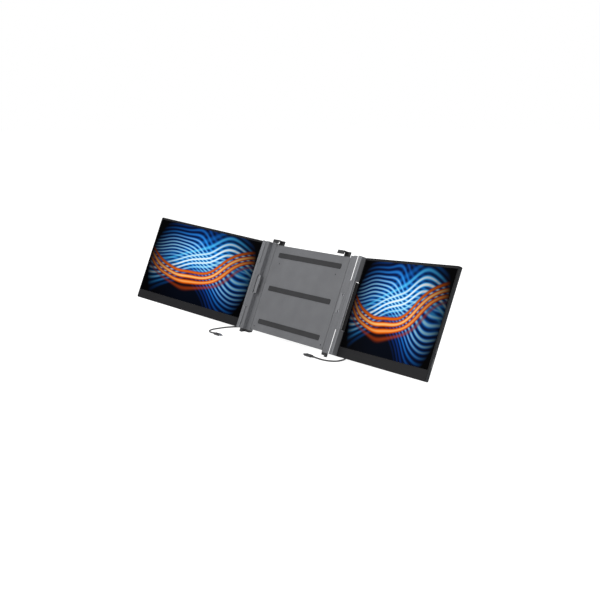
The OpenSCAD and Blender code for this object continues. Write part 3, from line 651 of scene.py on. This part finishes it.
# Textured ABS: black and nearly without gloss, with a grain drawn at 0.9 mm.
bezel_abs = textured("bezel_abs_moulded", "#161618", "#1B1B1D", 0.6, 0.9, 0.00003,
                     Specular_IOR_Level=0.12)
# Bare sheet: bright, with faint marks from the rolling.
tray_sheet = metal("bare_aluminium_sheet", "#9DA0A4", "#B0B3B7", 0.35, (1, 0.1, 1), 500, 0.00002)
# Polished ABS: smoother and lighter than the frame, so that light picks the buttons out.
button_abs = textured("button_abs_satin", "#3A3A3C", "#434345", 0.32, 2.0, 0.00001)
# Solder mask: a glossy green film over the copper.
solder_mask = textured("solder_mask_green", "#1E5A38", "#256B44", 0.3, 3.0, 0.00004)
dress(pair("back_cover"), anodised_black)
dress(pair("front_frame", "speakers"), bezel_abs)
dress(pair("lcd_module"), tray_sheet)
dress(pair("power_button", "menu_rocker"), button_abs)
dress(pair("driver_board"), solder_mask)


# ---------------------------------------------------------------- frames' lips
# Inside the rim, the frame's moulding runs on as a thin lip with a slope down to the
# glass. It is wider at the top, and holds the film's edge on three sides.

screen_w = 0.351
hinge_edge = 0.0075
chin = 0.022
# The lip's steps: in from the housing's sides, down from its top, and back from its front
lip_steps = ((0.0014, 0.0014, 0.00014), (0.0014, 0.0014, 0.00004), (0.0023, 0.0051, 0.00006),
             (0.0026, 0.0054, 0.00013), (0.0026, 0.0054, 0.00014))
for side in sides:
    mesh = bmesh.new()
    rows = []
    for inset, drop, depth in lip_steps:
        near, far, high = hinge_edge + inset, hinge_edge + screen_w - inset, screen_h - drop
        rows.append([mesh.verts.new(on_screen(side, across, depth, height))
                     for across, height in ((near, chin), (near, high), (far, high),
                                            (far, chin))])
    for one, two in zip(rows, rows[1:] + rows[:1]):
        for k in range(3):
            mesh.faces.new((one[k], one[k + 1], two[k + 1], two[k]))
    for k in (0, 3):
        mesh.faces.new([row[k] for row in rows])
    lip = finish_mesh(side + "_frame_lip", mesh, [bezel_abs], 20)
    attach(lip, side + "_screen")


# ---------------------------------------------------------------- glass and picture
# Each panel has a hard-coated anti-glare film over a black border. The lit picture is
# a plain wallpaper of soft ribbons of light in blue and cyan, with an orange accent.

# Anti-glare film: black, with only a dim and blurred reflection.
film, shader = start("anti_glare_film", "#050506", 0, 0.3, IOR=1.5, Specular_IOR_Level=0.006)
place = add(film, "ShaderNodeTexCoord").outputs["Object"]
haze = add(film, "ShaderNodeTexNoise", {"Scale": 12, "Detail": 3}, {"Vector": place})
gloss = add(film, "ShaderNodeMapRange", {"To Min": 0.16, "To Max": 0.26},
            {"Value": haze.outputs["Fac"]})
link(film, gloss.outputs["Result"], shader, "Roughness")
dress(pair("cover_glass"), film)

# The picture shines through the same film. Its pattern is measured in heights of itself.
picture, shader = start("lit_picture", "#020203", 0, 0.3, IOR=1.5, Specular_IOR_Level=0.006)
uv = add(picture, "ShaderNodeUVMap", uv_map="picture").outputs["UV"]
flow = add(picture, "ShaderNodeTexNoise", {"Scale": 1.1, "Detail": 1.0, "Roughness": 0.3},
           {"Vector": uv})
xy = add(picture, "ShaderNodeSeparateXYZ", None, {"Vector": uv})
lit_colour = None
# How many radians of wave there are in a picture's height, and how far the flow bends it
wave_rate, bend = 2.4, 0.55
# Each ribbon: the swell, slope and height of its middle line, its half width, the
# number of strands in it, and its colours from the rim to the middle.
for swell, phase, height, half, strands, tones in (
        (0.20, 0.4, 0.52, 0.55, 120, ("#01040C", "#0A3480", "#1F7FDC", "#9CDAF8")),
        (-0.24, 1.6, 0.50, 0.38, 84, ("#01030A", "#0B4F96", "#45B2EE", "#F2FAFF")),
        (0.26, 3.2, 0.50, 0.21, 76, ("#020203", "#A33A04", "#F4740F", "#FFC070"))):
    angle = add(picture, "ShaderNodeMath", {1: wave_rate, 2: phase}, {0: xy.outputs["X"]},
                operation="MULTIPLY_ADD")
    wave = add(picture, "ShaderNodeMath", None, {0: angle.outputs["Value"]}, operation="SINE")
    middle = add(picture, "ShaderNodeMath", {1: swell, 2: height}, {0: wave.outputs["Value"]},
                 operation="MULTIPLY_ADD")
    off = add(picture, "ShaderNodeMath", None, {0: xy.outputs["Y"], 1: middle.outputs["Value"]},
              operation="SUBTRACT")
    # The flow averages a half, so that half the bend comes off again
    bent = add(picture, "ShaderNodeMath", {1: bend},
               {0: flow.outputs["Fac"], 2: off.outputs["Value"]}, operation="MULTIPLY_ADD")
    swing = add(picture, "ShaderNodeMath", {1: bend / 2}, {0: bent.outputs["Value"]},
                operation="SUBTRACT")
    away = add(picture, "ShaderNodeMath", None, {0: swing.outputs["Value"]},
               operation="ABSOLUTE")
    body = add(picture, "ShaderNodeMapRange", {"From Min": half, "From Max": 0.0},
               {"Value": away.outputs["Value"]}, interpolation_type="SMOOTHSTEP")
    count = add(picture, "ShaderNodeMath", {1: strands}, {0: swing.outputs["Value"]},
                operation="MULTIPLY")
    strand = add(picture, "ShaderNodeMath", None, {0: count.outputs["Value"]},
                 operation="SINE")
    thread = add(picture, "ShaderNodeMapRange",
                 {"From Min": -1.0, "From Max": 1.0, "To Min": 0.12, "To Max": 1.0},
                 {"Value": strand.outputs["Value"]})
    sheen = add(picture, "ShaderNodeMath", None,
                {0: body.outputs["Result"], 1: thread.outputs["Result"]}, operation="MULTIPLY")
    tone = add(picture, "ShaderNodeValToRGB", None, {"Fac": sheen.outputs["Value"]})
    ramp = tone.color_ramp
    ramp.elements[0].position = 0.02
    ramp.elements[0].color = linear(tones[0])
    ramp.elements[1].position = 0.95
    ramp.elements[1].color = linear(tones[3])
    ramp.elements.new(0.3).color = linear(tones[1])
    ramp.elements.new(0.62).color = linear(tones[2])
    if lit_colour is None:
        lit_colour = tone.outputs["Color"]
    elif half > 0.3:
        # A wide ribbon adds its light to the one behind it
        over = add(picture, "ShaderNodeMix", {0: 1.0}, {6: lit_colour, 7: tone.outputs["Color"]},
                   data_type="RGBA", blend_type="SCREEN")
        lit_colour = over.outputs[2]
    else:
        # The narrow one covers what is behind it
        cover = add(picture, "ShaderNodeMapRange", {"From Max": 0.35},
                    {"Value": sheen.outputs["Value"]})
        over = add(picture, "ShaderNodeMix", None,
                   {0: cover.outputs["Result"], 6: lit_colour, 7: tone.outputs["Color"]},
                   data_type="RGBA")
        lit_colour = over.outputs[2]
# The light fades towards the picture's corners
centre = add(picture, "ShaderNodeVectorMath", {1: (0.9, 0.5, 0)}, {0: uv},
             operation="SUBTRACT")
far_off = add(picture, "ShaderNodeVectorMath", None, {0: centre.outputs["Vector"]},
              operation="LENGTH")
fade = add(picture, "ShaderNodeMapRange",
           {"From Min": 0.32, "From Max": 0.90, "To Min": 1.0, "To Max": 0.0},
           {"Value": far_off.outputs["Value"]})
shown = add(picture, "ShaderNodeMix", {0: 1.0}, {6: lit_colour, 7: fade.outputs["Result"]},
            data_type="RGBA", blend_type="MULTIPLY")
link(picture, shown.outputs[2], shader, "Emission Color")
shader.inputs["Emission Strength"].default_value = 1.0

# The lit layer is a closed sheet of 0.03 mm, just in front of the glass
picture_h, picture_inset, picture_foot = 0.194, 0.0035, 0.0224
layer = (0.00010, 0.00013)
near, far = hinge_edge + picture_inset, hinge_edge + screen_w - picture_inset
low, high = picture_foot, picture_foot + picture_h
corners = [(near, low), (far, low), (far, high), (near, high)]
for side in sides:
    mesh = bmesh.new()
    mapped = mesh.loops.layers.uv.new("picture")
    rings = [[mesh.verts.new(on_screen(side, across, back, height)) for across, height in corners]
             for back in layer]
    skin(mesh, rings)
    corner_of = dict(zip(rings[0] + rings[1], corners + corners))
    for face in mesh.faces:
        for loop in face.loops:
            across, height = corner_of[loop.vert]
            from_left = far - across if side == "left" else across - near
            loop[mapped].uv = (from_left / picture_h, (height - low) / picture_h)
    piece = finish_mesh(side + "_picture", mesh, [picture])
    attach(piece, side + "_screen")
